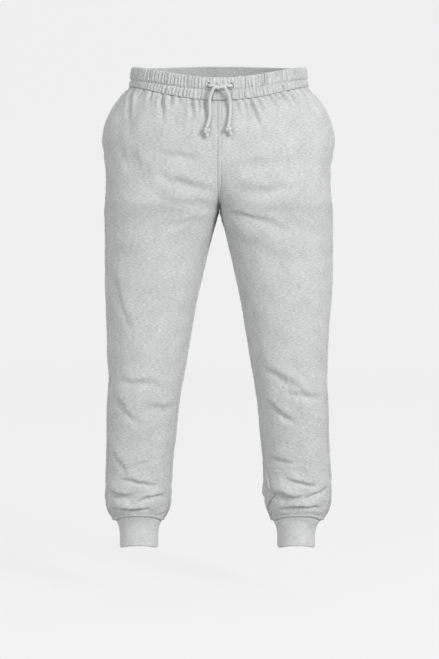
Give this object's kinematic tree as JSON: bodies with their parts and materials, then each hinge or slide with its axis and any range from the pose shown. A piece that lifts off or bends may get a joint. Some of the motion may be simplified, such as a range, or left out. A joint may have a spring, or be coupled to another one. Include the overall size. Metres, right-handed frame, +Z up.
{
  "type": "jogger sweatpants",
  "caption": "Cuffed jogger sweatpants in heather fleece as worn: gathered waistband with a tied drawcord, slant side pockets, tapered legs and rib cuffs.",
  "frame": {"origin": "middle of the waist inside the waistband, where the wearer holds the trousers up", "axes": "+Z up, -Y the way the wearer faces, +X the wearer's left side"},
  "size_m": [0.4477, 0.2655, 0.9501],
  "materials": {
    "heather_fleece": "light grey heather knit, matte",
    "heather_rib": "light grey heather rib knit, matte",
    "braided_cord": "light grey round braid, matte"
  },
  "bodies": {
    "root": {"front_right": "heather_fleece", "front_left": "heather_fleece", "back_right": "heather_fleece", "back_left": "heather_fleece", "pocket_right": "heather_fleece", "pocket_left": "heather_fleece", "waistband": "heather_fleece", "eyelet_right": "heather_fleece", "eyelet_left": "heather_fleece", "cuff_right": "heather_rib", "cuff_left": "heather_rib", "drawcord_bridge_right": "braided_cord", "drawcord_bridge_left": "braided_cord", "drawcord_knot": "braided_cord", "drawcord_end_right": "braided_cord", "drawcord_end_left": "braided_cord", "drawcord_stop_right": "braided_cord", "drawcord_stop_left": "braided_cord"}
  },
  "joints": []
}
